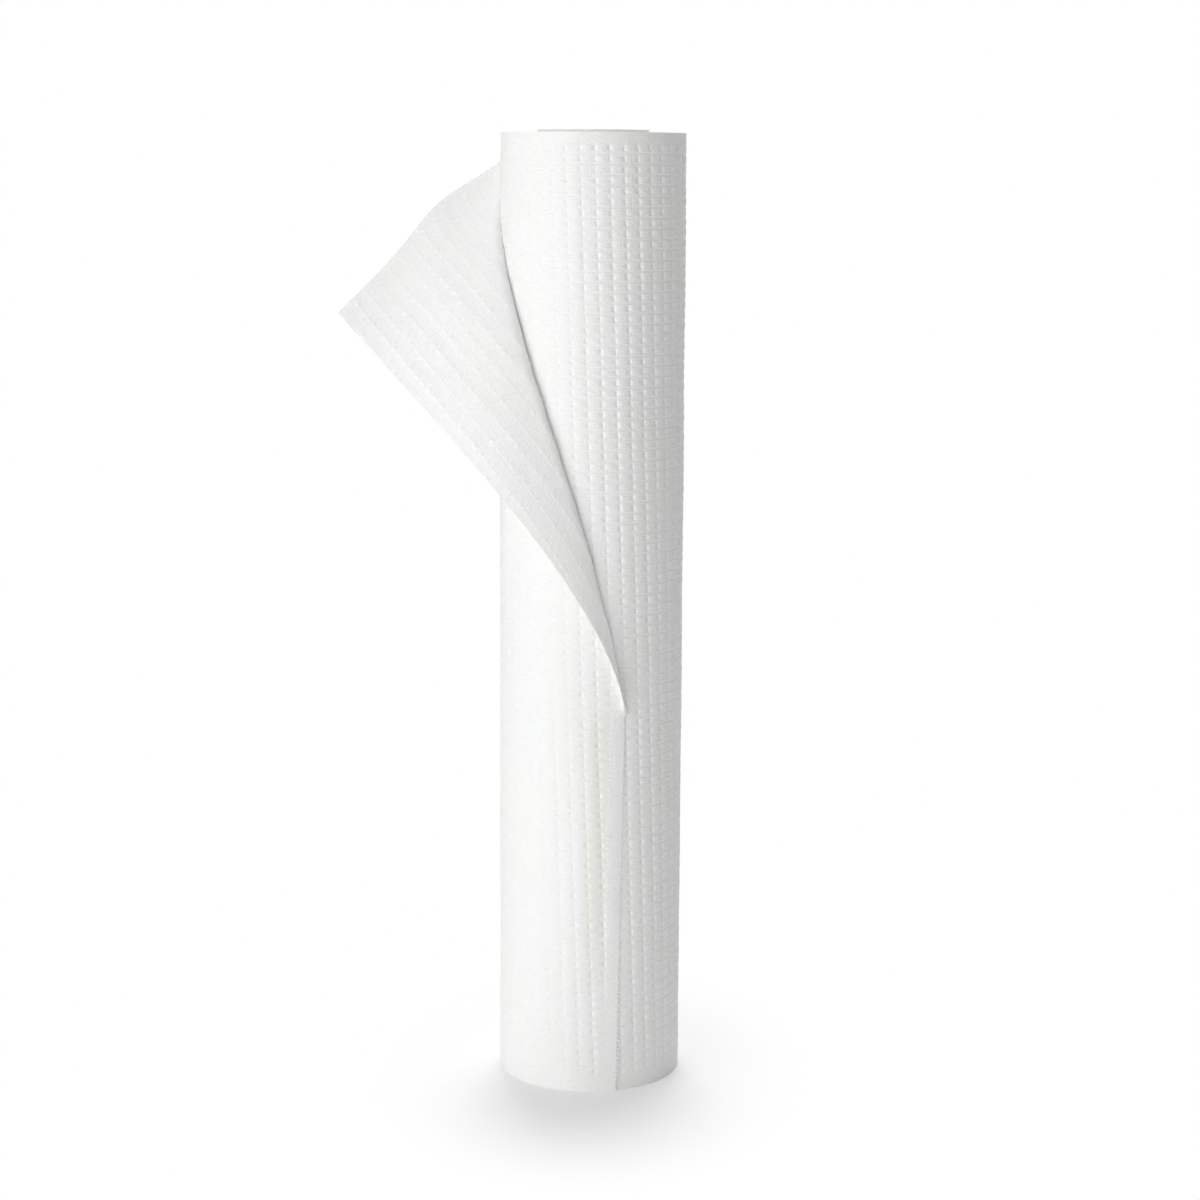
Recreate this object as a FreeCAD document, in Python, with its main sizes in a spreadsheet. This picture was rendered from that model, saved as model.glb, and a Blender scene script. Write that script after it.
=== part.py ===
"""Examination table paper roll: an embossed paper web wound on a board core, its free corner peeled back.

Frame: origin on the roll's axis at its lower end, +Z up the axis, -Y towards the free edge of the web.
Millimetres and degrees. Angles round the roll are counted from -Y, positive towards +X.
"""
import FreeCAD, Part
import math
import os
import Sketcher

DIMENSIONS = (
    ("roll_length", 500.0, "width of the web, and length of the wound roll"),
    ("roll_diameter", 97.0, "over the outermost turn"),
    ("core_outer_diameter", 58.0, "board core"),
    ("core_wall", 3.5, "board core"),
    ("core_proud", 1.5, "how far the core stands past the upper end of the roll"),
    ("web_to_core_gap", 0.05, "radial, between the first turn and the core"),
    ("web_caliper", 0.3, "thickness of the embossed web"),
    ("emboss_columns", 40.0, "pillow columns round one turn"),
    ("emboss_valley_width", 2.0, "valley between two columns"),
    ("emboss_depth", 0.5, "valley below the pillow tops"),
    ("plain_margin", 5.4, "unembossed strip along each long edge of the web"),
    ("turn_line_count", 6.0, "rings that stand for the turns on each end"),
    ("turn_line_width", 0.9, "each ring"),
    ("turn_line_depth", 0.4, "each ring"),
    ("free_edge_angle", 21.8, "where the outermost turn ends"),
    ("peel_start_height", 199.0, "below this the free edge still lies on the roll"),
    ("peel_sweep_angle", 137.2, "round the roll, peeled off at the upper end"),
    ("peel_late_share", 0.34, "of that sweep, the part that comes late, towards the upper end"),
    ("curl_radius", 9.6, "of a long row's bend away from the roll"),
    ("curl_half_arc", 20.5, "a row this long bends at half the curl radius"),
    ("lower_pull_lift", 33.1, "torn edge, lower control point, off the roll"),
    ("lower_pull_angle", 10.9, "round the roll"),
    ("lower_pull_rise_share", 0.227, "of the peeled height"),
    ("upper_pull_lift", 59.4, "torn edge, upper control point, off the roll"),
    ("upper_pull_angle", -62.2, "round the roll"),
    ("upper_pull_rise_share", 0.566, "of the peeled height"),
    ("corner_lift", 84.2, "the web's free corner, off the roll"),
    ("corner_angle", -81.6, "round the roll"),
    ("corner_rise_share", 0.693, "of the peeled height"),
    ("tail_row_count", 14.0, "rows of the web that the peeled corner is lofted through"),
    ("first_row_share", 0.02, "of the peeled height, where the lowest of those rows lies"),
    ("root_sink", 0.3, "those rows start this far inside the roll"),
)

OUT_DIR = "parts"


def make_sheet(doc):
    """Writes the driving dimensions into the spreadsheet and gives each its alias."""
    sheet = doc.addObject("Spreadsheet::Sheet", "Dims")
    for row, (alias, value, note) in enumerate(DIMENSIONS, start=1):
        sheet.set("A%d" % row, alias)
        sheet.set("B%d" % row, str(value))
        sheet.set("C%d" % row, note)
        sheet.setAlias("B%d" % row, alias)
    doc.recompute()
    return sheet


def origin_plane(body, role):
    """The body's own origin plane or axis with this role."""
    return next(item for item in body.Origin.OriginFeatures if item.Role == role)


def attach(sketch, body, role):
    sketch.AttachmentSupport = [(origin_plane(body, role), "")]
    sketch.MapMode = "FlatFace"


def drive(sketch, constraint, name, expression):
    """Adds a constraint, names it and binds its value to the spreadsheet."""
    index = sketch.addConstraint(constraint)
    sketch.renameConstraint(index, name)
    sketch.setExpression("Constraints." + name, expression)


def point(x, y, z=0.0):
    return FreeCAD.Vector(x, y, z)


def centred_circle(sketch, name, radius, expression):
    """A circle on the sketch's origin whose radius follows the spreadsheet."""
    index = sketch.addGeometry(Part.Circle(point(0, 0), point(0, 0, 1), radius), False)
    sketch.addConstraint(Sketcher.Constraint("Coincident", index, 3, -1, 1))
    drive(sketch, Sketcher.Constraint("Radius", index, radius), name, expression)


def make_core(doc, sheet):
    """The board tube that the web is wound on, cut square at both ends."""
    body = doc.addObject("PartDesign::Body", "core_tube")
    section = body.newObject("Sketcher::SketchObject", "core_section")
    attach(section, body, "XY_Plane")
    outer = sheet.core_outer_diameter / 2
    centred_circle(section, "outer", outer, "Dims.core_outer_diameter / 2")
    centred_circle(section, "inner", outer - sheet.core_wall, "Dims.core_outer_diameter / 2 - Dims.core_wall")
    tube = body.newObject("PartDesign::Pad", "core_length")
    tube.Profile = section
    tube.setExpression("Length", "Dims.roll_length + Dims.core_proud")
    doc.recompute()
    return body


def draw_turn(sketch, sheet):
    """One turn as a two-centre spiral that closes on a step one web thick at the free edge.

    Its two half circles have their centres a quarter of the web's caliper either side of the axis.
    """
    caliper = sheet.web_caliper
    radius = sheet.roll_diameter / 2
    start = math.radians(sheet.free_edge_angle - 90)
    along = point(math.cos(start), math.sin(start))
    low_centre, high_centre = along * (-caliper / 4), along * (caliper / 4)
    low = Part.Circle(low_centre, point(0, 0, 1), radius - 0.75 * caliper)
    high = Part.Circle(high_centre, point(0, 0, 1), radius - 0.25 * caliper)
    ray = sketch.addGeometry(Part.LineSegment(point(0, 0), along * radius), True)
    first = sketch.addGeometry(Part.ArcOfCircle(low, start, start + math.pi), False)
    second = sketch.addGeometry(Part.ArcOfCircle(high, start + math.pi, start + 2 * math.pi), False)
    step = sketch.addGeometry(Part.LineSegment(along * radius, along * (radius - caliper)), False)
    same = (
        (ray, 1, -1, 1),
        (first, 2, second, 1),
        (second, 2, step, 1),
        (step, 2, first, 1),
        (ray, 2, step, 1),
    )
    for ends in same:
        sketch.addConstraint(Sketcher.Constraint("Coincident", *ends))
    for geometry, end in ((first, 3), (second, 3), (first, 1), (first, 2)):
        sketch.addConstraint(Sketcher.Constraint("PointOnObject", geometry, end, ray))
    drive(sketch, Sketcher.Constraint("Angle", -1, 1, ray, 1, start),
          "free_edge", "(Dims.free_edge_angle - 90) * 1 deg")
    drive(sketch, Sketcher.Constraint("Distance", -1, 1, first, 3, caliper / 4),
          "low_shift", "Dims.web_caliper / 4")
    drive(sketch, Sketcher.Constraint("Distance", -1, 1, second, 3, caliper / 4),
          "high_shift", "Dims.web_caliper / 4")
    drive(sketch, Sketcher.Constraint("Radius", first, radius - 0.75 * caliper),
          "low_radius", "Dims.roll_diameter / 2 - 0.75 * Dims.web_caliper")


def make_wound_web(doc, sheet):
    """The wound turns as one solid: spiral section, bore for the core, valleys between the pillow columns."""
    body = doc.addObject("PartDesign::Body", "wound_web")
    section = body.newObject("Sketcher::SketchObject", "turn_section")
    attach(section, body, "XY_Plane")
    draw_turn(section, sheet)
    bore = sheet.core_outer_diameter / 2 + sheet.web_to_core_gap
    centred_circle(section, "bore", bore, "Dims.core_outer_diameter / 2 + Dims.web_to_core_gap")
    turns = body.newObject("PartDesign::Pad", "turns")
    turns.Profile = section
    turns.setExpression("Length", "Dims.roll_length")
    doc.recompute()

    valley = body.newObject("Sketcher::SketchObject", "valley_section")
    attach(valley, body, "XY_Plane")
    valley.setExpression(".AttachmentOffset.Base.z", "Dims.plain_margin")
    draw_valley(valley, sheet)
    cut = body.newObject("PartDesign::Pocket", "valley")
    cut.Profile = valley
    cut.Reversed = True
    cut.setExpression("Length", "Dims.roll_length - 2 * Dims.plain_margin")
    doc.recompute()
    columns = body.newObject("PartDesign::PolarPattern", "valleys")
    columns.Originals = [cut]
    columns.Axis = (origin_plane(body, "Z_Axis"), [""])
    columns.Angle = 360
    columns.setExpression("Occurrences", "Dims.emboss_columns")
    body.Tip = columns
    doc.recompute()
    if not columns.Shape.Volume < cut.Shape.Volume < turns.Shape.Volume:
        raise RuntimeError("the valleys cut nothing")
    return body


def draw_valley(sketch, sheet):
    """A V notch across the rim at the back of the roll, one valley wide where it meets the rim.

    Its root lies one emboss depth in, and its mouth as far outside, where it is twice as wide.
    """
    radius = sheet.roll_diameter / 2
    depth = sheet.emboss_depth
    width = sheet.emboss_valley_width
    root = point(0, radius - depth)
    left, right = point(-width, radius + depth), point(width, radius + depth)
    lines = [sketch.addGeometry(Part.LineSegment(a, b), False) for a, b in
             ((root, right), (right, left), (left, root))]
    for i, line in enumerate(lines):
        sketch.addConstraint(Sketcher.Constraint("Coincident", line, 2, lines[(i + 1) % 3], 1))
    sketch.addConstraint(Sketcher.Constraint("PointOnObject", lines[0], 1, -2))
    sketch.addConstraint(Sketcher.Constraint("Symmetric", lines[1], 1, lines[1], 2, -2))
    drive(sketch, Sketcher.Constraint("DistanceY", -1, 1, lines[0], 1, radius - depth),
          "root_radius", "Dims.roll_diameter / 2 - Dims.emboss_depth")
    drive(sketch, Sketcher.Constraint("DistanceY", lines[0], 1, lines[0], 2, 2 * depth),
          "reach", "2 * Dims.emboss_depth")
    drive(sketch, Sketcher.Constraint("DistanceX", lines[1], 2, lines[1], 1, 2 * width),
          "mouth", "2 * Dims.emboss_valley_width")


def round_roll(angle, radius, height):
    """A point by its angle round the roll, its distance from the axis and its height."""
    turn = math.radians(angle)
    return point(radius * math.sin(turn), -radius * math.cos(turn), height)


def torn_edge(sheet, share):
    """The lifted part of the free edge: a cubic Bezier curve from the roll to the web's free corner."""
    radius = sheet.roll_diameter / 2 - sheet.root_sink
    peeled = sheet.roll_length - sheet.peel_start_height

    def pull(lift, angle, rise_share):
        return round_roll(angle, radius + lift, sheet.peel_start_height + rise_share * peeled)

    poles = (
        round_roll(sheet.free_edge_angle, radius, sheet.peel_start_height),
        pull(sheet.lower_pull_lift, sheet.lower_pull_angle, sheet.lower_pull_rise_share),
        pull(sheet.upper_pull_lift, sheet.upper_pull_angle, sheet.upper_pull_rise_share),
        pull(sheet.corner_lift, sheet.corner_angle, sheet.corner_rise_share),
    )
    rest = 1 - share
    weights = (rest ** 3, 3 * rest ** 2 * share, 3 * rest * share ** 2, share ** 3)
    return sum((pole * weight for pole, weight in zip(poles, weights)), point(0, 0))


def tail_row(sheet, share):
    """Closed section of one row of the tail.

    The row leaves the roll along its tangent, bends outwards on an arc and runs straight to the torn edge.
    """
    radius = sheet.roll_diameter / 2 - sheet.root_sink
    late = sheet.peel_late_share
    sweep = sheet.peel_sweep_angle * ((1 - late) * share + late * share ** 3)
    height = sheet.peel_start_height + share * (sheet.roll_length - sheet.peel_start_height)
    root = round_roll(sheet.free_edge_angle - sweep, radius, height)
    leave = math.radians(sheet.free_edge_angle - sweep)
    tangent = point(math.cos(leave), math.sin(leave))
    arc_length = math.radians(sweep) * radius
    curl = sheet.curl_radius * arc_length / (arc_length + sheet.curl_half_arc)

    run = torn_edge(sheet, share) - root
    ahead = run.dot(tangent)
    away = run - tangent * ahead
    aside = away.Length
    away.normalize()
    reach = math.hypot(ahead, aside - curl)
    bend = math.atan2(aside - curl, ahead) + math.asin(curl / reach)
    straight = math.sqrt(reach ** 2 - curl ** 2)

    def at(offset, turn, onward=0.0):
        """A point beside the row's curve, offset to its hollow side."""
        inner = curl - offset
        forward = inner * math.sin(turn) + onward * math.cos(turn)
        outward = curl - inner * math.cos(turn) + onward * math.sin(turn)
        return root + tangent * forward + away * outward

    edges = []
    for offset in (0.0, -sheet.web_caliper):
        edges.append(Part.Arc(at(offset, 0), at(offset, bend / 2), at(offset, bend)).toShape())
        edges.append(Part.LineSegment(at(offset, bend), at(offset, bend, straight)).toShape())
    upper_arc, upper_run, lower_arc, lower_run = edges
    tip = Part.LineSegment(at(0.0, bend, straight), at(-sheet.web_caliper, bend, straight)).toShape()
    heel = Part.LineSegment(at(-sheet.web_caliper, 0), at(0.0, 0)).toShape()
    return Part.Wire([upper_arc, upper_run, tip, lower_run, lower_arc, heel])


def make_tail(doc, sheet):
    """The peeled corner of the web: a solid loft, ruled from each of its rows to the next."""
    last = int(sheet.tail_row_count) - 1
    first_share = sheet.first_row_share
    shares = [first_share + (1 - first_share) * i / last for i in range(last + 1)]
    tail = doc.addObject("Part::Feature", "peeled_tail")
    tail.Shape = Part.makeLoft([tail_row(sheet, share) for share in shares], True, True)
    return tail


def make_turn_lines(doc, sheet):
    """Cutter for the rings on both ends: V grooves, evenly spaced from the core to the valleys' roots."""
    inner = sheet.core_outer_diameter / 2 + sheet.web_to_core_gap
    outer = sheet.roll_diameter / 2 - sheet.emboss_depth - sheet.web_caliper
    count = int(sheet.turn_line_count)
    pitch = (outer - inner) / count
    width = sheet.turn_line_width
    rings = []
    for end, inward in ((0.0, 1), (sheet.roll_length, -1)):
        root = end + inward * sheet.turn_line_depth
        mouth = end - inward * sheet.turn_line_depth
        for i in range(count):
            middle = inner + (i + 0.5) * pitch
            left, right = point(middle - width, 0, mouth), point(middle + width, 0, mouth)
            face = Part.Face(Part.makePolygon([point(middle, 0, root), left, right, point(middle, 0, root)]))
            rings.append(face.revolve(point(0, 0), point(0, 0, 1), 360))
    lines = doc.addObject("Part::Feature", "turn_lines")
    lines.Shape = Part.makeCompound(rings)
    return lines


def make_web(doc, sheet):
    """The whole web in one piece: wound turns, rings on its ends, and the peeled tail."""
    ringed = doc.addObject("Part::Cut", "ringed_web")
    ringed.Base = make_wound_web(doc, sheet)
    ringed.Tool = make_turn_lines(doc, sheet)
    web = doc.addObject("Part::Fuse", "paper_web")
    web.Base = ringed
    web.Tool = make_tail(doc, sheet)
    doc.recompute()
    return web


def check(doc, parts):
    """Stops at a failed object, an invalid shape or a part that is not one solid."""
    for item in doc.Objects:
        if "Invalid" in item.State or "Error" in item.State:
            raise RuntimeError("%s failed: %s" % (item.Name, item.State))
    for item in parts:
        if item.Shape.isNull() or not item.Shape.isValid() or len(item.Shape.Solids) != 1:
            raise RuntimeError("%s is not one valid solid" % item.Label)


def main():
    doc = FreeCAD.newDocument("paper_roll")
    sheet = make_sheet(doc)
    core = make_core(doc, sheet)
    web = make_web(doc, sheet)
    parts = (("core_tube", core), ("paper_web", web))
    for label, item in parts:
        item.Label = label
    doc.recompute()
    check(doc, [item for _, item in parts])
    os.makedirs(OUT_DIR, exist_ok=True)
    for label, item in parts:
        item.Shape.exportStep(os.path.join(OUT_DIR, label + ".step"))
        print(label, "volume %.1f" % item.Shape.Volume, "faces", len(item.Shape.Faces))


main()
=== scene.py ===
import math

import bmesh
import bpy
import numpy as np
from mathutils import Matrix, Vector


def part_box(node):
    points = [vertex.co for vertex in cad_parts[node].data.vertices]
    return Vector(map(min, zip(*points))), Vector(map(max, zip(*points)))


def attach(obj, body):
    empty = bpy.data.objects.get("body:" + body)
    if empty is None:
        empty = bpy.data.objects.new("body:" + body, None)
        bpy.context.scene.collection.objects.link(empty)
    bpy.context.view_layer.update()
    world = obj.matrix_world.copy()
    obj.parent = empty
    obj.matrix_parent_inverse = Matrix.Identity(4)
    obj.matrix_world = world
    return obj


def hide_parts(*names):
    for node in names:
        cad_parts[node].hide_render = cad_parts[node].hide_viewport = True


# An exam table paper roll standing on its end: a white sheet embossed all over with small pillows,
# wound on a board core, with the top corner of its free end peeled off and turned back. Everything
# is in metres. A place on the sheet is s, counted leftwards round the roll from the free edge, and
# z, its height before peeling.

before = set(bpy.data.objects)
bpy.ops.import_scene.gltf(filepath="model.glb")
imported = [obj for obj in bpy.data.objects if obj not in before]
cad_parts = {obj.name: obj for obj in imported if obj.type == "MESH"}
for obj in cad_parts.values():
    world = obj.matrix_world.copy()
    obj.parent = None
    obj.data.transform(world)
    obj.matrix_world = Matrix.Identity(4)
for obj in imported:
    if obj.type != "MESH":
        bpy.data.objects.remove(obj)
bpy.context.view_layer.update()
_, core_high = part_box("core_tube")

MM = 0.001

# ---- the roll
CORE_PROUD = 1.5 * MM                   # the core stands out of the turns at the top
CORE_RADIUS = core_high.x
ROLL_LENGTH = core_high.z - CORE_PROUD
ROLL_RADIUS = 48.5 * MM
CALIPER = 0.3 * MM                      # one turn of the embossed sheet
TURN = 2.0 * math.pi * ROLL_RADIUS
WALL = 0.9 * MM                         # the wound strips are three turns thick
SHEET_THICKNESS = 0.2 * MM              # the single sheet where it is peeled off
BACKED_THICKNESS = 1.4 * MM             # where it still lies on the roll, with the turns below it
LEAVING = 4.0 * MM                      # over which the one becomes the other
STILL_BACKED = 0.6                      # share of that over which no light comes through yet

# ---- the free end
FREE_EDGE_ANGLE = math.radians(21.8)    # from the front (-Y) towards +X
FREE_EDGE_DRIFT = 3.55 * MM             # how much further left the edge stands at the floor
FREE_EDGE_SET_BACK = 0.5 * MM           # the tear runs this far inside the sheet's own first line
TEAR_SIZE = 0.06 * MM                   # its slow unevenness: three waves this high
TEAR_WAVES = ((3.1 * MM, 0.0), (1.7 * MM, 1.3), (7.9 * MM, 0.4))    # with these lengths and phases
PEEL_START = 199.0 * MM
PEEL_REACH = math.radians(137.2) * ROLL_RADIUS
PEEL_LATE_SHARE = 0.34                  # how much of the peel's widening comes near the top
PEEL_TOP_EXTRA = 14.0 * MM              # the uppermost rows have come off this much further round
PEEL_TOP_ROWS = 0.2                     # and this share of the peeled height is the uppermost rows
LEAST_PEEL = 0.5 * MM                   # the peel's first row takes its shape from this far above it
CURL_RADIUS = 9.6 * MM
CURL_HALF_ARC = 20.5 * MM               # the curl has half its radius where so much has come off
# The torn edge in space runs from its start, by way of two pulls, to the tip of the corner.
TORN_START = np.array([ROLL_RADIUS * math.sin(FREE_EDGE_ANGLE),
                       -ROLL_RADIUS * math.cos(FREE_EDGE_ANGLE), PEEL_START])
TORN_LOWER_PULL = np.array([15.4, -80.1, 267.4]) * MM
TORN_UPPER_PULL = np.array([-95.4, -50.3, 369.4]) * MM
TORN_TIP = np.array([-131.3, -19.3, 407.6]) * MM

# ---- the peeled corner's buckled top, in shares of the way out from the roll to the torn edge
SAG, SAG_PLACE, SAG_WIDTH = 3.8 * MM, 0.12, 0.13
SAG_BEGINS = 0.06
RISE, RISE_PLACE, RISE_WIDTH = 5.8 * MM, 0.49, 0.17
BUCKLED_FROM = 0.72                     # share of the peeled height below which the rows are straight

# ---- the emboss
COLUMNS_A_TURN = 40
COLUMN_PITCH = TURN / COLUMNS_A_TURN
HIDDEN_LAP = 1.9 * COLUMN_PITCH         # how far the strips run on under the outer turn
COLUMN_SLANT = math.tan(math.radians(2.05))
ROW_PITCH = 5.35 * MM
ROWS = 91
PLAIN_MARGIN = 5.4 * MM
VALLEY_DEPTH = 0.58 * MM                # between two columns of pillows
VALLEY_SLOPE = 2.7 * MM                 # its long gentle side, on a pillow's right
VALLEY_STEP = 1.0 * MM                  # and its short steep side, on the next pillow's left
VALLEY_LEFT_AT_ROW_LINE = 0.12          # share of that depth at the corners of the pillows
PILLOW_HALF_HEIGHT = 0.7 * MM           # half the height over which the valley keeps its depth
PILLOW_CORNER = 1.0 * MM
PILLOW_STRAY = 0.4 * MM                 # the most that one stands above or below its row
DEPTH_LEAST = 0.5                       # a valley's own depth: this share of the full one,
DEPTH_BY_PILLOW = 0.6                   # up to this much more at one pillow or another,
DEPTH_BY_COLUMN = 0.5                   # and up to this much more all along one column or another
GROOVE_DEPTH = 0.34 * MM                # the narrower groove between two rows
GROOVE_LEFT_IN_FRONT = 0.2              # share of that depth where the roll has been handled
GROOVE_CRISP_FROM = 0.4                 # sine of the angle round from the front where it deepens
GROOVE_CRISP_OVER = 0.5                 # and how much more of that sine it takes
GROOVE_HALF_WIDTH = 0.7 * MM
BULGE = 0.24 * MM                       # the most that a pillow's middle stands out
PEELED_LOSS = 0.66                      # how much of its relief the sheet loses where it hangs free
SLACKENING = 10.0 * MM                  # over which it loses it
FACET_PULL = 0.35                       # share of the way from round to flat between two column valleys
FACET_DEPTH = FACET_PULL * COLUMN_PITCH ** 2 / (8.0 * ROLL_RADIUS)
# The mesh's lines inside one cell, as shares of it, closest together where it bends most.
COLUMN_STEPS = (0.0, 0.07, 0.17, 0.36, 0.61, 0.865, 0.91, 0.955)
ROW_STEPS = (0.0, 0.065, 0.13, 0.19, 0.33, 0.5, 0.67, 0.81, 0.87, 0.935)
MARGIN_STEPS = (0.0, 0.35, 0.7)
PLAIN_STRIP = 6.4 * MM                  # beside the free edge the sheet isn't embossed
PLAIN_STRIP_SIDE = 1.2 * MM             # over which the emboss begins
PERFORATION_INSET = 7.7 * MM            # the line of pinholes runs this far from the free edge
PERFORATION_PITCH = 2.8 * MM
PINHOLE_RADIUS = 0.45 * MM              # about twice a real one's, which would be too fine to show
PINHOLE_RIM = 0.95 * MM                 # the paper stands up a little round it, out to here
PINHOLES_GONE = 35.0 * MM               # below this height none are left
PINHOLES_WHOLE = 105.0 * MM             # and above this one all are
PINHOLES_END = 5.0 * MM                 # they fade over this far to both sides of the peel's start

# ---- where the emboss is pressed flatter
HELD_ANGLE = math.radians(-50.0)        # where the roll was held, from the front towards -X
HELD_WIDTH = math.radians(58.0)         # and so far to both sides of it
HELD_SHARE = 0.6                        # how much of the emboss is gone there
FOOT_HEIGHT = 32.0 * MM                 # where it has stood on its lower end
FOOT_SHARE = 0.55                       # and how much is gone there
STRIP_FADE = 60.0 * MM                  # above the peel's start, until the plain strip is embossed too

# ---- the torn edge
TAB_PITCH = 2.4 * MM                    # from one cut of the perforation to the next
TAB_LENGTH = 1.15 * MM                  # at the foot, where the tear went roughest
TAB_LEFT_HIGH_UP = 0.4                  # share of that length higher up
TAB_ROUGH_SHARE = 0.8                   # the way from the foot to the peel's start over which it shortens
TAB_LEFT_PEELED = 0.1                   # and on the peeled corner
TAB_RISE = 0.65                         # how far they stand up for each unit that they stick out
TAB_SHORTEST, TAB_VARIES = 0.15, 1.1    # shares of that length: the least, and how much more it may be
TAB_POINTED = 1.5                       # 1 would be as wide as its pitch
TAB_STEP = 0.3 * MM
FRAY = 0.08 * MM                        # unevenness of the wound edge from step to step
FRINGE_LINES = (0.9 * MM, 0.2 * MM, 0.0)        # the ribbon of tabs starts inside the sheet
FRINGE_OUT = 0.12 * MM                  # and stands out of its edge by at least this
FRINGE_OUTER, FRINGE_INNER = 0.06 * MM, 0.14 * MM       # its two faces, as depths below the sheet's
EDGE_LIFT = 0.12 * MM                   # how far the wound free edge stands off the roll
EDGE_LIFT_WAVES = ((0.06 * MM, 23.0 * MM, 0.0), (0.04 * MM, 9.0 * MM, 1.0))   # height, length, phase
EDGE_LIFT_REACH = 2.5 * MM              # the lift dies away leftwards over this

# ---- which draw of chance numbers each uneven thing takes
DEPTH_DRAW, BULGE_DRAW, TAB_DRAW, STRAY_DRAW, COLUMN_DRAW, FRAY_DRAW = 1.0, 2.0, 4.0, 5.0, 6.0, 5.0

# ---- the ends of the turns
END_PITCH = 2.0 * CALIPER               # two turns to a ridge: one is too fine to show
BLOCK_RADIUS = ROLL_RADIUS - WALL
END_ANGLES = 180
END_PROFILE = ((0.0, -0.22 * MM), (0.25, 0.0), (0.75, 0.0))     # share of the pitch, and height there
END_STAND_BACK = 0.07 * MM              # the winding wanders this far to and fro, twice over

# ---- the core's board
PLY = 0.5 * MM
BOARD_STRIP = 75.0 * MM                 # from one pass of its butt seam to the next, along the core
SEAM_SHARE = 0.008                      # the seam's half width, as a share of that

# ---- the paper's colours
PAPER_WARM, PAPER_COOL = "#F6F6F3", "#F5F6F6"
FREE_END_PAINTED_SHADE = "#F1F1F3"              # painted shade on the last strip of the free end, loose over the turn below
PINHOLE_PAINTED_SHADE = "#EFF0EA"          # painted shade, a little darker and warmer, in a band along the pinholes
# painted highlight: each pinhole is drawn pure white
PINHOLE_PAINTED_HIGHLIGHT = "#FFFFFF"
FREE_END_PAINTED_SHADE_SPAN = (-12.0 * MM, 0.5 * MM)  # where each band runs, leftwards from the line of pinholes
PINHOLE_PAINTED_SHADE_SPAN = (-2.0 * MM, 16.0 * MM)


# ---------------------------------------------------------------- the sheet in space

def smooth(x):
    """0 below 0, 1 above 1, and the cubic 3x^2 - 2x^3 in between."""
    x = np.clip(x, 0.0, 1.0)
    return x * x * (3.0 - 2.0 * x)


def wound_point(s, z):
    """A point of the wound sheet: round leftwards as s grows, and in by one caliper a turn."""
    angle = FREE_EDGE_ANGLE - s / ROLL_RADIUS
    radius = ROLL_RADIUS - CALIPER * s / TURN
    return np.stack([radius * np.sin(angle), -radius * np.cos(angle), z], -1)


def peel_share(z):
    """How far up the peeled height z is: 0 where the peel starts, 1 at the top of the roll."""
    return (z - PEEL_START) / (ROLL_LENGTH - PEEL_START)


def peel_reach(z):
    """How far round the roll the sheet has come off at height z: part even, part with the cube of
    the height, and a little more over the uppermost rows."""
    share = np.clip(peel_share(z), 0.0, None)
    even = PEEL_REACH * ((1.0 - PEEL_LATE_SHARE) * share + PEEL_LATE_SHARE * share ** 3)
    return even + PEEL_TOP_EXTRA * smooth((share - 1.0 + PEEL_TOP_ROWS) / PEEL_TOP_ROWS)


def torn_edge(z):
    """The torn edge of the peeled corner in space: one cubic Bezier curve from the roll to the free
    corner."""
    share = peel_share(z)[..., None]
    rest = 1.0 - share
    return (rest ** 3 * TORN_START + 3.0 * rest ** 2 * share * TORN_LOWER_PULL
            + 3.0 * rest * share ** 2 * TORN_UPPER_PULL + share ** 3 * TORN_TIP)


def buckle(share, along):
    """How far the free top of the corner hangs from a straight row: two bell curves along the row,
    from 0 at the roll to 1 at the torn edge. It sags near the roll, stands up halfway out, and dies
    away in the rows below."""
    sag = SAG * np.exp(-((along - SAG_PLACE) / SAG_WIDTH) ** 2) * smooth(along / SAG_BEGINS)
    rise = RISE * np.exp(-((along - RISE_PLACE) / RISE_WIDTH) ** 2)
    return (rise - sag) * smooth((share - BUCKLED_FROM) / (1.0 - BUCKLED_FROM))


def peeled_point(s, z):
    """A point of the peeled corner. Each row leaves the roll on its tangent, bends back round an
    arc and runs straight on to the torn edge, all in the plane that holds the tangent and that
    point of the edge."""
    z = np.maximum(z, PEEL_START + LEAST_PEEL)
    reach = peel_reach(z)
    angle = FREE_EDGE_ANGLE - reach / ROLL_RADIUS
    root = wound_point(reach, z)
    onward = np.stack([np.cos(angle), np.sin(angle), np.zeros_like(angle)], -1)
    to_edge = torn_edge(z) - root
    ahead = (to_edge * onward).sum(-1)
    aside = to_edge - ahead[..., None] * onward
    lift = np.linalg.norm(aside, axis=-1)
    aside = aside / lift[..., None]
    curl = CURL_RADIUS * reach / (reach + CURL_HALF_ARC)
    span = np.hypot(ahead, lift - curl)
    turn = np.arctan2(lift - curl, ahead) + np.arcsin(np.clip(curl / span, -1.0, 1.0))
    arc = curl * turn
    run = arc + np.sqrt(np.maximum(span ** 2 - curl ** 2, 0.0))
    along = run * (1.0 - s / reach)
    bent = np.minimum(along / curl, turn)
    straight = np.maximum(along - arc, 0.0)
    forward = curl * np.sin(bent) + straight * np.cos(turn)
    sideways = curl * (1.0 - np.cos(bent)) + straight * np.sin(turn)
    flat = root + forward[..., None] * onward + sideways[..., None] * aside
    return flat + buckle(peel_share(z), 1.0 - s / reach)[..., None] * np.array([0.0, 0.0, 1.0])


def sheet_point(s, z):
    """A point of the sheet before its relief: peeled where the peel has reached it, wound
    elsewhere."""
    lifted = (s < peel_reach(z)) & (z > PEEL_START)
    return np.where(lifted[..., None], peeled_point(s, z), wound_point(s, z))


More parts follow.
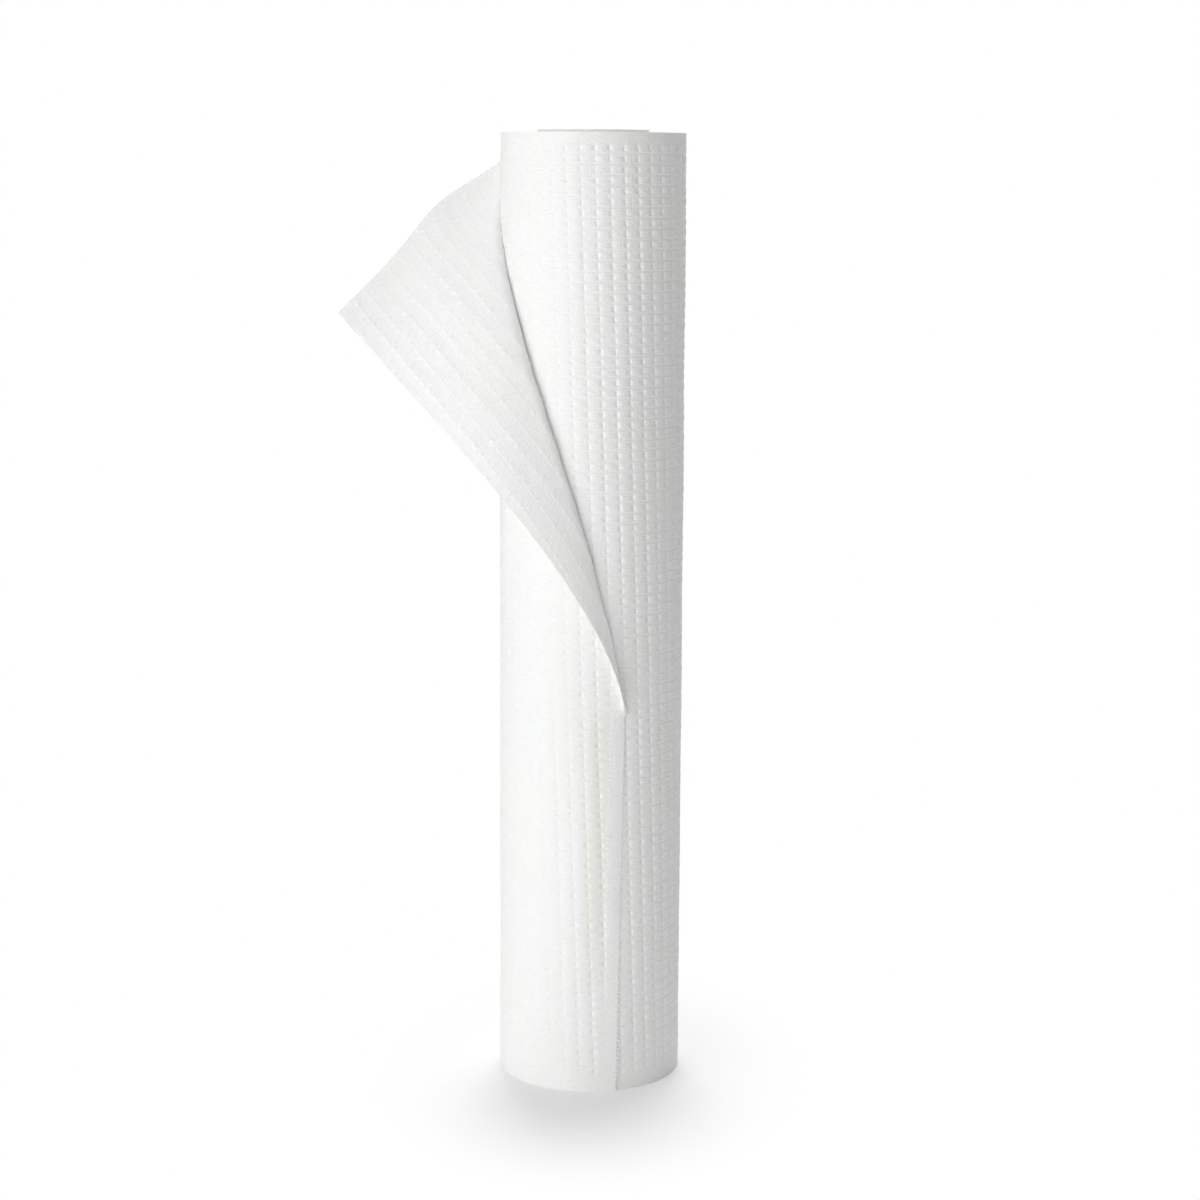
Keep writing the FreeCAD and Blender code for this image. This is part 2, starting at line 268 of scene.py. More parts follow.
def sheet_normal(s, z):
    """The sheet's outer side, from the cross product of small steps up and round."""
    step = 0.25 * MM
    up = sheet_point(s, z + step) - sheet_point(s, z - step)
    around = sheet_point(s + step, z) - sheet_point(s - step, z)
    normal = np.cross(up, around)
    return normal / np.linalg.norm(normal, axis=-1)[..., None]


# ---------------------------------------------------------------- the sheet's relief

def seeded_waves(rng, count, periods, rates, heights):
    """Waves drawn between the given limits: for each, its whole number of periods round the roll,
    how fast it turns per metre up the roll, its phase, and its height in millimetres."""
    return [(rng.integers(*periods), rng.uniform(*rates), rng.uniform(0.0, 6.28),
             rng.uniform(*heights) * MM) for _ in range(count)]


rng = np.random.default_rng(11)
WAVES = seeded_waves(rng, 9, (2, 9), (12.0, 70.0), (0.02, 0.05))
WAVES += seeded_waves(rng, 9, (9, 27), (2.0, 16.0), (0.015, 0.03))


def undulation(s, z):
    """Slow unevenness of the winding: the sum of the seeded waves, broad ones first and then
    narrower ones."""
    return sum(size * np.sin(times * s / ROLL_RADIUS + rate * z + phase)
               for times, rate, phase, size in WAVES)


def scatter(column, row, draw):
    """A number from 0 to 1 for each pillow in each draw, as good as random and the same each run:
    the digits that a sine leaves behind the point when it is made very large."""
    return np.abs(np.sin(column * 12.9898 + row * 78.233 + draw * 37.719) * 43758.5453) % 1.0


def pressed(s, z):
    """The share of the emboss that is left: smooth steps take some away where the roll was held, at
    its front left and at its foot, and where the sheet hangs free, and all of it in the strip
    beside the free edge."""
    round_roll = FREE_EDGE_ANGLE - s / ROLL_RADIUS
    side = math.cos(HELD_WIDTH)
    held = smooth((np.cos(round_roll - HELD_ANGLE) - side) / (1.0 - side))
    foot = smooth(1.0 - z / FOOT_HEIGHT)
    strip = 1.0 - smooth((s - free_edge(z) - PLAIN_STRIP) / PLAIN_STRIP_SIDE)
    strip = strip * (1.0 - smooth((z - PEEL_START) / STRIP_FADE))
    peeled = smooth((peel_reach(z) - s) / SLACKENING) * (z > PEEL_START)
    left = (1.0 - HELD_SHARE * held * (1.0 - peeled)) * (1.0 - PEELED_LOSS * peeled)
    return left * (1.0 - FOOT_SHARE * foot) * (1.0 - strip)


def emboss(s, z):
    """The height of the pillows, from three things taken together. Between two columns runs a
    valley: its long side falls away with the square of the distance, its short side by the smooth
    step, and it is deep beside a pillow's middle and shallow at its corners. Between two rows runs
    a groove, faint in front and full towards the right. The middle of each pillow bulges out as a
    product of two parabolas, some more than others. There is none of it in the plain margins. Each
    column is also pulled from round towards flat, by a parabola."""
    column = (s - COLUMN_SLANT * z) / COLUMN_PITCH
    row = (ROLL_LENGTH - PLAIN_MARGIN - z) / ROW_PITCH
    inside = (row > 0.0) & (row < ROWS)
    valley, number, line = np.round(column), np.floor(row), np.round(row)
    leftward = (column - valley) * COLUMN_PITCH
    upright = (row - number - 0.5) * ROW_PITCH + PILLOW_STRAY * (scatter(valley, number, STRAY_DRAW) - 0.5)
    gentle = np.clip(1.0 - leftward / VALLEY_SLOPE, 0.0, 1.0) ** 2
    across = np.where(leftward > 0.0, gentle, 1.0 - smooth(-leftward / VALLEY_STEP))
    along = 1.0 - smooth((np.abs(upright) - PILLOW_HALF_HEIGHT) / PILLOW_CORNER)
    along = VALLEY_LEFT_AT_ROW_LINE + (1.0 - VALLEY_LEFT_AT_ROW_LINE) * along
    own_depth = DEPTH_LEAST + DEPTH_BY_PILLOW * scatter(valley, number, DEPTH_DRAW)
    own_depth = own_depth + DEPTH_BY_COLUMN * scatter(valley, 0.0, COLUMN_DRAW)
    towards_right = np.sin(FREE_EDGE_ANGLE - s / ROLL_RADIUS)
    deepened = smooth((towards_right - GROOVE_CRISP_FROM) / GROOVE_CRISP_OVER)
    crisp = GROOVE_LEFT_IN_FRONT + (1.0 - GROOVE_LEFT_IN_FRONT) * deepened
    groove = GROOVE_DEPTH * crisp * (1.0 - smooth(np.abs(row - line) * ROW_PITCH / GROOVE_HALF_WIDTH))
    right, down = column - np.floor(column) - 0.5, row - number - 0.5
    dome = (1.0 - 4.0 * right ** 2) * (1.0 - 4.0 * down ** 2)
    bulge = BULGE * scatter(np.floor(column), number, BULGE_DRAW) * dome
    relief = bulge - groove - VALLEY_DEPTH * own_depth * across * along
    return pressed(s, z) * inside * relief - FACET_DEPTH * 4.0 * np.abs(right) * (1.0 - np.abs(right))


def free_edge(z):
    """Where the free edge runs on the sheet: straight up from where the peel starts, drifting left
    in a straight line below it, with the slow unevenness of a tear added as three sine waves."""
    drift = FREE_EDGE_DRIFT * np.clip(1.0 - z / PEEL_START, 0.0, 1.0)
    ragged = TEAR_SIZE * sum(np.sin(z / length + phase) for length, phase in TEAR_WAVES)
    return drift + ragged + FREE_EDGE_SET_BACK


def edge_lift(s, z):
    """How far the free edge stands off the roll: a height that waves a little along the edge and
    dies away exponentially into the sheet, and beyond the edge a straight rise for the torn
    tabs."""
    waves = sum(size * np.sin(z / length + phase) for size, length, phase in EDGE_LIFT_WAVES)
    beyond = free_edge(z) - s
    lift = (EDGE_LIFT + waves) * np.exp(-np.maximum(-beyond, 0.0) / EDGE_LIFT_REACH)
    return lift + TAB_RISE * np.maximum(beyond, 0.0)


def peeled_thickness(s, z):
    """One sheet thick where it hangs free, growing by the smooth step to the backed thickness at
    the line where it leaves the roll."""
    backed = 1.0 - smooth((peel_reach(z) - s) / LEAVING)
    return SHEET_THICKNESS + (BACKED_THICKNESS - SHEET_THICKNESS) * backed


def placed(s, z, depth=0.0, share=1.0):
    """Points of the finished sheet, at a depth below its outer face, with this share of the
    relief."""
    height = share * emboss(s, z) + undulation(s, z) + edge_lift(s, z) - depth
    return sheet_point(s, z) + height[..., None] * sheet_normal(s, z)


# ---------------------------------------------------------------- meshes

TOUCHING = 1e-6                         # points nearer than this are one
CREASE = math.radians(50.0)             # edges that bend more than this are shaded sharp


def piece_from(name, points, faces, material, sheet_places=None, merge=False):
    """One mesh object from its points and a list of face arrays, each with its own number of
    corners. sheet_places, the s and z of each point, become the UV map that the paper's texture
    follows. merge joins points that fall on one another, such as those that are held back to the
    free edge."""
    mesh = bpy.data.meshes.new(name)
    corners = np.concatenate([f.ravel() for f in faces]).astype(np.int32)
    sizes = np.concatenate([np.full(len(f), f.shape[1]) for f in faces])
    mesh.vertices.add(len(points))
    mesh.vertices.foreach_set("co", np.asarray(points, np.float32).ravel())
    mesh.loops.add(len(corners))
    mesh.loops.foreach_set("vertex_index", corners)
    mesh.polygons.add(len(sizes))
    starts = np.concatenate([[0], np.cumsum(sizes)[:-1]]).astype(np.int32)
    mesh.polygons.foreach_set("loop_start", starts)
    mesh.polygons.foreach_set("use_smooth", np.ones(len(sizes), bool))
    mesh.update(calc_edges=True)
    if sheet_places is not None:
        layer = mesh.uv_layers.new(name="sheet")
        layer.data.foreach_set("uv", np.asarray(sheet_places, np.float32)[corners].ravel())
    if merge:
        work = bmesh.new()
        work.from_mesh(mesh)
        bmesh.ops.remove_doubles(work, verts=work.verts, dist=TOUCHING)
        work.to_mesh(mesh)
        work.free()
    mesh.set_sharp_from_angle(angle=CREASE)
    mesh.validate()
    mesh.materials.append(material)
    piece = bpy.data.objects.new(name, mesh)
    bpy.context.scene.collection.objects.link(piece)
    return piece


def lines_of(cells):
    """All grid lines of a run of cells, each given as (start, pitch, steps), and which of them
    start a cell."""
    lines = np.concatenate([start + pitch * np.array(steps) for start, pitch, steps in cells]
                           + [[cells[-1][0] + cells[-1][1]]])
    starts = np.concatenate([[0], np.cumsum([len(steps) for _, _, steps in cells])])
    return lines, starts


def column_cells(first, last):
    """The columns of pillows from one valley to another, counted leftwards from the free edge."""
    return [(c, 1.0, COLUMN_STEPS) for c in range(first, last)]


def row_cells():
    """The rows of pillows between the plain margins, from the floor up."""
    lowest = ROLL_LENGTH - PLAIN_MARGIN - ROWS * ROW_PITCH
    rows = [(lowest + i * ROW_PITCH, ROW_PITCH, ROW_STEPS) for i in range(ROWS)]
    upper_margin = (ROLL_LENGTH - PLAIN_MARGIN, PLAIN_MARGIN, MARGIN_STEPS)
    return [(0.0, lowest, MARGIN_STEPS)] + rows + [upper_margin]


def column_lines(columns, z):
    """How far along the sheet each column line is at height z: evenly spaced, and slanting as they
    rise."""
    return columns[:, None] * COLUMN_PITCH + COLUMN_SLANT * z


def cells_of_piece(columns, rows, belongs):
    """Which cells are in a piece, from the lines between the cells: the middle of a cell has to
    belong to it, and one of the corners on its left has to be on the sheet, past the free edge."""
    middle_z = 0.5 * (rows[:-1] + rows[1:])[None, :]
    middle_s = column_lines(0.5 * (columns[:-1] + columns[1:]), middle_z)
    left_side = column_lines(columns[1:], rows[None, :]) > free_edge(rows)[None, :]
    return belongs(middle_s, middle_z) & (left_side[:, 1:] | left_side[:, :-1])


def strip_of_sheet(name, first, last, belongs, material, fine_inside):
    """A piece of the sheet between two column valleys, as a closed solid. belongs says which cells
    are in it, from the s and z of their middles. The outer face has all the relief; the inner face
    has it too, or else has only the corners of the cells, where nothing shows it."""
    columns, column_starts = lines_of(column_cells(first, last))
    rows, row_starts = lines_of(row_cells())
    z = np.broadcast_to(rows[None, :], (len(columns), len(rows)))
    s = np.maximum(column_lines(columns, z), free_edge(z))
    cells = cells_of_piece(columns[column_starts], rows[row_starts], belongs)
    quads = np.repeat(np.repeat(cells, np.diff(column_starts), 0), np.diff(row_starts), 1)

    number = np.arange(s.size).reshape(s.shape)
    j, i = np.nonzero(quads)
    skin = np.stack([number[j, i], number[j, i + 1], number[j + 1, i + 1], number[j + 1, i]], -1)
    faces = [skin]
    if fine_inside:
        inner_s, inner_z = s, z
        faces.append(skin[:, ::-1] + s.size)
        mask, inner = quads, number + s.size
        column_starts, row_starts = np.arange(len(columns)), np.arange(len(rows))
    else:
        corners = np.ix_(column_starts, row_starts)
        inner_s, inner_z = s[corners], z[corners]
        inner = np.arange(inner_s.size).reshape(inner_s.shape) + s.size
        j, i = np.nonzero(cells)
        faces.append(np.stack([inner[j + 1, i], inner[j + 1, i + 1], inner[j, i + 1], inner[j, i]], -1))
        mask = cells
    faces = by_size(faces + rim_faces(mask, number, inner, column_starts, row_starts))
    depth = peeled_thickness(inner_s, inner_z) if fine_inside else WALL
    points = np.concatenate([placed(s, z).reshape(-1, 3),
                             placed(inner_s, inner_z, depth, float(fine_inside)).reshape(-1, 3)])
    places = [np.stack(place, -1).reshape(-1, 2) for place in ((s, z), (inner_s, inner_z))]
    points, places, faces = used_only(points, np.concatenate(places), faces)
    return piece_from(name, points, faces, material, places, merge=True)


def rim_faces(mask, number, inner, column_starts, row_starts):
    """The edge faces of the solid: along each open side of a cell, one face between all the outer
    points there and the two inner ones. They are made side by side, and for all cells with as many
    outer points at once."""
    faces = []
    padded = np.pad(mask, 1)
    for dj, di in ((-1, 0), (1, 0), (0, -1), (0, 1)):
        open_here = mask & ~padded[1 + dj:1 + dj + mask.shape[0], 1 + di:1 + di + mask.shape[1]]
        j, i = np.nonzero(open_here)
        upright = dj != 0
        starts, along = (row_starts, i) if upright else (column_starts, j)
        steps = starts[along + 1] - starts[along]
        for count in np.unique(steps):
            jj, ii, begin = j[steps == count], i[steps == count], starts[along[steps == count]]
            run = begin[:, None] + np.arange(count + 1)
            if upright:
                edge = jj + (dj > 0)
                outer_line = number[column_starts[edge][:, None], run]
                ends = np.stack([inner[edge, ii + 1], inner[edge, ii]], -1)
            else:
                edge = ii + (di > 0)
                outer_line = number[run, row_starts[edge][:, None]]
                ends = np.stack([inner[jj + 1, edge], inner[jj, edge]], -1)
            loop = np.concatenate([outer_line, ends], -1)
            faces.append(loop if (dj, di) in ((1, 0), (0, -1)) else loop[:, ::-1])
    return faces


def by_size(faces):
    """The same faces in one array for each number of corners."""
    sizes = sorted({f.shape[1] for f in faces})
    return [np.concatenate([f for f in faces if f.shape[1] == size]) for size in sizes]


def used_only(points, places, faces):
    """Drops the points that no face uses."""
    used = np.unique(np.concatenate([f.ravel() for f in faces]))
    renumber = np.zeros(len(points), np.int64)
    renumber[used] = np.arange(len(used))
    return points[used], places[used], [renumber[f] for f in faces]


def repaint_where_wound(piece, material):
    """Gives the wound sheet's material to the faces that still lie on the roll or have only just
    left it."""
    mesh = piece.data
    mesh.materials.append(material)
    places = np.empty(2 * len(mesh.loops), np.float32)
    mesh.uv_layers["sheet"].data.foreach_get("uv", places)
    starts = np.empty(len(mesh.polygons), np.int32)
    mesh.polygons.foreach_get("loop_start", starts)
    s, z = places.reshape(-1, 2)[starts].T
    backed = s > peel_reach(z) - STILL_BACKED * LEAVING
    mesh.polygons.foreach_set("material_index", backed.astype(np.int32))


def torn_fringe(name, material):
    """The tabs of thin fibre left along the perforation when it was torn: a narrow ribbon in the
    middle of the sheet's thickness, buried at its inner side, whose outer side goes out and back
    once for each tab."""
    z = np.arange(0.0, ROLL_LENGTH, TAB_STEP)
    tab = z / TAB_PITCH
    left = TAB_LEFT_HIGH_UP + (1.0 - TAB_LEFT_HIGH_UP) * smooth(1.0 - z / (TAB_ROUGH_SHARE * PEEL_START))
    left = np.where(z > PEEL_START, TAB_LEFT_PEELED, left)
    length = TAB_LENGTH * (TAB_SHORTEST + TAB_VARIES * scatter(np.floor(tab), 0.0, TAB_DRAW)) * left
    out = FRINGE_OUT + length * smooth(1.0 - np.abs(2.0 * (tab % 1.0) - 1.0) * TAB_POINTED)
    out = out + FRAY * (scatter(np.arange(len(z)), 1.0, FRAY_DRAW) - 0.5) * (z < PEEL_START)
    inward = np.stack([np.full(len(z), inside) for inside in FRINGE_LINES] + [-out], 0)
    s = free_edge(z)[None, :] + inward
    z = np.broadcast_to(z[None, :], s.shape)
    number = np.arange(s.size).reshape(s.shape)
    skin = np.stack([number[:-1, :-1], number[1:, :-1], number[1:, 1:], number[:-1, 1:]], -1).reshape(-1, 4)
    around = np.concatenate([number[:, 0], number[-1, 1:], number[-2::-1, -1], number[0, -2:0:-1]])
    below = around + s.size
    rim = np.stack([around, np.roll(around, -1), np.roll(below, -1), below], -1)
    faces = [np.concatenate([skin, skin[:, ::-1] + s.size, rim])]
    points = np.concatenate([placed(s, z, depth).reshape(-1, 3) for depth in (FRINGE_OUTER, FRINGE_INNER)])
    places = np.tile(np.stack([s, z], -1).reshape(-1, 2), (2, 1))
    return piece_from(name, points, faces, material, places)


def end_height(turns):
    """How far each ridge of the wound ends stands back, because the winding wanders a little from
    turn to turn: two sine waves that don't keep step, so that no two ridges are alike."""
    return -END_STAND_BACK * (2.0 + np.sin(2.3 * turns) + np.sin(5.7 * turns + 1.0))


def inner_turns(name, material):
    """All the turns under the outer one as one solid. On both ends one spiral runs out from the
    core, raised along its middle and low along its sides; plain walls close it at the core and
    under the outer turn."""
    ridges = int((BLOCK_RADIUS - CORE_RADIUS) / END_PITCH) + 2
    turns = np.arange(ridges * END_ANGLES + 1) / END_ANGLES - 1.0
    across = np.array([share for share, _ in END_PROFILE] + [1.0])
    profile = np.array([height for _, height in END_PROFILE] + [END_PROFILE[0][1]])
    position = turns[:, None] + across[None, :]
    radius = CORE_RADIUS + END_PITCH * position
    own_turn = np.where(across[None, :] == 1.0, turns[:, None] + 1.0, turns[:, None])
    height = profile[None, :] + end_height(own_turn)
    height = np.where((radius > CORE_RADIUS) & (radius < BLOCK_RADIUS), height, 0.0)
    radius = np.clip(radius, CORE_RADIUS, BLOCK_RADIUS)
    angle = np.broadcast_to(2.0 * math.pi * turns[:, None], radius.shape)
    x, y = radius * np.sin(angle), -radius * np.cos(angle)
    number = np.arange(x.size).reshape(x.shape)
    top = np.stack([number[:-1, :-1], number[:-1, 1:], number[1:, 1:], number[1:, :-1]], -1).reshape(-1, 4)
    ring = 2.0 * math.pi * np.arange(END_ANGLES) / END_ANGLES
    start = 2 * x.size
    walls, wall_points = [], []
    for wall, radius_here in enumerate((CORE_RADIUS, BLOCK_RADIUS)):
        for level in (0.0, ROLL_LENGTH):
            wall_points.append(np.stack([radius_here * np.sin(ring), -radius_here * np.cos(ring),
                                         np.full(END_ANGLES, level)], -1))
        low = start + 2 * wall * END_ANGLES + np.arange(END_ANGLES)
        high = low + END_ANGLES
        quads = np.stack([low, np.roll(low, -1), np.roll(high, -1), high], -1)
        walls.append(quads if wall else quads[:, ::-1])
    points = np.concatenate([np.stack([x, y, ROLL_LENGTH + height], -1).reshape(-1, 3),
                             np.stack([x, y, -height], -1).reshape(-1, 3)] + wall_points)
    faces = [np.concatenate([top, top[:, ::-1] + x.size] + walls)]
    return piece_from(name, points, faces, material, points[:, :2], merge=True)


# ---------------------------------------------------------------- materials

def srgb(code):
    """An sRGB hex colour as the linear colour that a shader takes."""
    parts = [int(code[i:i + 2], 16) / 255.0 for i in (1, 3, 5)]
    return tuple(p / 12.92 if p <= 0.04045 else ((p + 0.055) / 1.055) ** 2.4 for p in parts) + (1.0,)


def add(tree, kind, links=(), **settings):
    """Adds a node, sets its properties and socket values, and wires the given sockets: a link, or a
    number for a socket that has only a place in the row."""
    node = tree.nodes.new(kind)
    for key, value in settings.items():
        if hasattr(node, key) and key not in node.inputs:
            setattr(node, key, value)
        else:
            node.inputs[key.replace("_", " ")].default_value = value
    for socket, source in dict(links).items():
        if isinstance(source, (int, float)):
            node.inputs[socket].default_value = source
        else:
            tree.links.new(source, node.inputs[socket])
    return node


def new_material(name):
    """An empty node material and its tree."""
    material = bpy.data.materials.new(name)
    material.use_nodes = True
    material.node_tree.nodes.clear()
    return material, material.node_tree


def blend(tree, factor, first, second):
    """The first colour where the factor is 0 and the second where it is 1. Each is a hex code or
    another node's colour."""
    mix = add(tree, "ShaderNodeMix", {"Factor": factor}, data_type="RGBA")
    colour_sockets = [socket for socket in mix.inputs if socket.type == "RGBA"]
    for socket, colour in zip(colour_sockets, (first, second)):
        if isinstance(colour, str):
            socket.default_value = srgb(colour)
        else:
            tree.links.new(colour, socket)
    return next(socket for socket in mix.outputs if socket.type == "RGBA")


def stretched_noise(tree, places, wide, high, detail=2.0):
    """Noise on the flat sheet whose grains are about this wide and this high."""
    scaled = add(tree, "ShaderNodeMapping", {"Vector": places}, Scale=(1.0 / wide, 1.0 / high, 1.0))
    return add(tree, "ShaderNodeTexNoise", {"Vector": scaled.outputs[0]}, noise_dimensions="2D", Scale=1.0,
               Detail=detail, Roughness=0.6).outputs[0]


def times_plus(tree, value, factor, more):
    """value times factor, plus more."""
    return add(tree, "ShaderNodeMath", {0: value, 1: factor, 2: more}, operation="MULTIPLY_ADD").outputs[0]


def beside_perforation(tree, around, up):
    """How far left of the line of pinholes a place is. The line drifts with the free edge."""
    line = add(tree, "ShaderNodeMapRange", {"Value": up}, From_Min=0.0, From_Max=PEEL_START,
               To_Min=FREE_EDGE_DRIFT + PERFORATION_INSET, To_Max=PERFORATION_INSET)
    return add(tree, "ShaderNodeMath", {0: around, 1: line.outputs[0]}, operation="SUBTRACT").outputs[0]


def along_perforation(tree, up):
    """1 where the free end still lies on the roll, 0 where it has been peeled off and, lower down,
    where the tear has run into the line of pinholes."""
    below = add(tree, "ShaderNodeMapRange", {"Value": up}, From_Min=PEEL_START - PINHOLES_END,
                From_Max=PEEL_START + PINHOLES_END, To_Min=1.0, To_Max=0.0)
    above = add(tree, "ShaderNodeMapRange", {"Value": up}, From_Min=PINHOLES_GONE, From_Max=PINHOLES_WHOLE)
    return times_plus(tree, below.outputs[0], above.outputs[0], 0.0)


def perforation(tree, beside, up):
    """1 inside each pinhole, fading to 0 at its rim: how near a place is to the line, and to the
    nearest whole number of pitches up it."""
    along = add(tree, "ShaderNodeMath", {0: up, 1: 0.5 * PERFORATION_PITCH}, operation="PINGPONG")
    offset = add(tree, "ShaderNodeCombineXYZ", {"X": beside, "Y": along.outputs[0]})
    away = add(tree, "ShaderNodeVectorMath", {0: offset.outputs[0]}, operation="LENGTH")
    hole = add(tree, "ShaderNodeMapRange", {"Value": away.outputs["Value"]}, From_Min=PINHOLE_RADIUS,
               From_Max=PINHOLE_RIM, To_Min=1.0, To_Max=0.0, interpolation_type="SMOOTHSTEP")
    return times_plus(tree, hole.outputs[0], along_perforation(tree, up), 0.0)


def band_beside_perforation(tree, beside, up, low, high):
    """1 in the middle of a band of the sheet that runs from low to high beside the line of
    pinholes, fading to 0 at its sides by the smooth step."""
    rise = add(tree, "ShaderNodeMapRange", {"Value": beside}, From_Min=low, From_Max=0.5 * (low + high),
               interpolation_type="SMOOTHSTEP")
    fall = add(tree, "ShaderNodeMapRange", {"Value": beside}, From_Min=0.5 * (low + high), From_Max=high,
               To_Min=1.0, To_Max=0.0, interpolation_type="SMOOTHSTEP")
    band = times_plus(tree, rise.outputs[0], fall.outputs[0], 0.0)
    return times_plus(tree, band, along_perforation(tree, up), 0.0)


def embossed_tissue_paper(name, let_through):
    """Creped and embossed tissue paper: very pale and soft, with the faint silky gloss of pressed
    fibre. Where it hangs free as a single sheet, light comes through it."""
    material, tree = new_material(name)
    places = add(tree, "ShaderNodeUVMap", uv_map="sheet").outputs[0]
    parts = add(tree, "ShaderNodeSeparateXYZ", {0: places})
    # Bundles of fibre lie along the web's width and give the eye soft upright streaks. Creping
    # gives it fine level lines; real ones are 0.3 mm apart and single fibres 0.03 mm wide, so both
    # are drawn coarser to show.
    streaks = stretched_noise(tree, places, 1.6 * MM, 12.0 * MM)
    creping = stretched_noise(tree, places, 4.0 * MM, 0.9 * MM)
    grain = stretched_noise(tree, places, 0.9 * MM, 0.9 * MM)
    up = parts.outputs[1]
    beside = beside_perforation(tree, parts.outputs[0], up)
    holes = perforation(tree, beside, up)
    # The bump's distance is 1 mm, so each factor is a height in millimetres.
    height = times_plus(tree, holes, 0.06, 0.0)
    height = times_plus(tree, streaks, 0.12, height)
    height = times_plus(tree, creping, 0.3, height)
    height = times_plus(tree, grain, 0.16, height)
    bump = add(tree, "ShaderNodeBump", {"Height": height}, Strength=1.0, Distance=1.0 * MM)
    # Patches a few centimetres across shift the white a little from warm to cool. Shade is painted
    # into the colour of the loose free end and of the band along the pinholes, and a highlight is
    # painted into each pinhole as pure white, so the edge and the pinholes can be told from the rest.
    tone = add(tree, "ShaderNodeMapRange", {"Value": stretched_noise(tree, places, 22.0 * MM, 60.0 * MM)},
               From_Min=0.35, From_Max=0.65)
    colour = blend(tree, tone.outputs[0], PAPER_WARM, PAPER_COOL)
    # Painted shade: the free end's strip and the band along the pinholes are drawn darker than the paper.
    for (low, high), shade in ((FREE_END_PAINTED_SHADE_SPAN, FREE_END_PAINTED_SHADE), (PINHOLE_PAINTED_SHADE_SPAN, PINHOLE_PAINTED_SHADE)):
        colour = blend(tree, band_beside_perforation(tree, beside, up, low, high), colour, shade)
    # Painted highlight: each pinhole is drawn pure white.
    colour = blend(tree, holes, colour, PINHOLE_PAINTED_HIGHLIGHT)
    # Light spreads 0.4 mm inside the fibre, which softens the relief and carries it through a
    # single sheet.
    shader = add(tree, "ShaderNodeBsdfPrincipled", {"Base Color": colour, "Normal": bump.outputs[0]},
                 Roughness=0.5, IOR=1.45, Subsurface_Weight=let_through, Subsurface_Scale=0.4 * MM,
                 Subsurface_Radius=(1.0, 1.0, 1.0))
    add(tree, "ShaderNodeOutputMaterial", {"Surface": shader.outputs[0]})
    return material


def white_core_board():
    """Spirally wound board with a white liner: matt and slightly warm. Its plies give the eye fine
    rings on the cut rim, its butt seam one slanting line along the bore, and its grey fibre a
    slight roughness."""
    material, tree = new_material("spiral_wound_white_core_board")
    place = add(tree, "ShaderNodeTexCoord").outputs["Object"]
    parts = add(tree, "ShaderNodeSeparateXYZ", {0: place})
    level = add(tree, "ShaderNodeCombineXYZ", {"X": parts.outputs[0], "Y": parts.outputs[1]})
    radius = add(tree, "ShaderNodeVectorMath", {0: level.outputs[0]}, operation="LENGTH")
    plies = add(tree, "ShaderNodeTexNoise", {"W": radius.outputs["Value"]}, noise_dimensions="1D",
                Scale=1.0 / PLY, Detail=1.0)
    angle = add(tree, "ShaderNodeMath", {0: parts.outputs[1], 1: parts.outputs[0]}, operation="ARCTAN2")
    turns = times_plus(tree, angle.outputs[0], 0.5 / math.pi, 0.0)
    seam = times_plus(tree, parts.outputs[2], 1.0 / BOARD_STRIP, turns)
    seam = add(tree, "ShaderNodeMath", {0: seam, 1: 0.5}, operation="PINGPONG")
    seam = add(tree, "ShaderNodeMapRange", {"Value": seam.outputs[0]}, From_Min=0.0, From_Max=SEAM_SHARE)
    grain = add(tree, "ShaderNodeTexNoise", {"Vector": place}, Scale=1.0 / (1.2 * MM), Detail=3.0)
    # Heights in millimetres, as for the paper.
    height = times_plus(tree, seam.outputs[0], 0.15, 0.0)
    height = times_plus(tree, plies.outputs[0], 0.12, height)
    height = times_plus(tree, grain.outputs[0], 0.05, height)
    bump = add(tree, "ShaderNodeBump", {"Height": height}, Strength=1.0, Distance=1.0 * MM)
    colour = blend(tree, plies.outputs[0], "#EFEDE7", "#F6F4EF")
    shader = add(tree, "ShaderNodeBsdfPrincipled", {"Base Color": colour, "Normal": bump.outputs[0]},
                 Roughness=0.8)
    add(tree, "ShaderNodeOutputMaterial", {"Surface": shader.outputs[0]})
    return material


wound_paper = embossed_tissue_paper("embossed_tissue_paper", 0.3)
free_paper = embossed_tissue_paper("embossed_tissue_single_sheet", 0.9)
board = white_core_board()


# ---------------------------------------------------------------- the pieces

def far_end(z):
    """How far under the outer turn the strips reach: one turn, what the peel or the drifting edge
    lays bare, and a hidden lap."""
    bare = np.maximum(peel_reach(z), FREE_EDGE_DRIFT * (z < PEEL_START))
    return TURN + bare + HIDDEN_LAP


def is_peeled(s, z):
    """Every cell that has lifted anywhere, so that only flat-lying cells are made three turns
    thick."""
    return (s < peel_reach(z + 0.5 * ROW_PITCH) + 0.5 * COLUMN_PITCH) & (z > PEEL_START)


def is_wound(s, z):
    """Every other cell, as far round as the outer turn and what the peel lays bare need."""
    return ~is_peeled(s, z) & (s < far_end(z))


# Each strip runs from one column valley to another, counted leftwards from the free edge.
sheet_pieces = [strip_of_sheet("peeled_corner", -3, 18, is_peeled, free_paper, True)]
repaint_where_wound(sheet_pieces[0], wound_paper)
for name, first, last in (("sheet_front", -3, 13), ("sheet_left", 13, 22), ("sheet_back", 22, 32),
                          ("sheet_right", 32, 41), ("sheet_second_turn", 41, 59)):
    sheet_pieces.append(strip_of_sheet(name, first, last, is_wound, wound_paper, False))
sheet_pieces.append(torn_fringe("torn_fringe", free_paper))
sheet_pieces.append(inner_turns("inner_turns", wound_paper))
for piece in sheet_pieces:
    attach(piece, "root")
    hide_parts("paper_web")

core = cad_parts["core_tube"]
core.data.materials.clear()
core.data.materials.append(board)


# ---------------------------------------------------------------- floor, light and camera

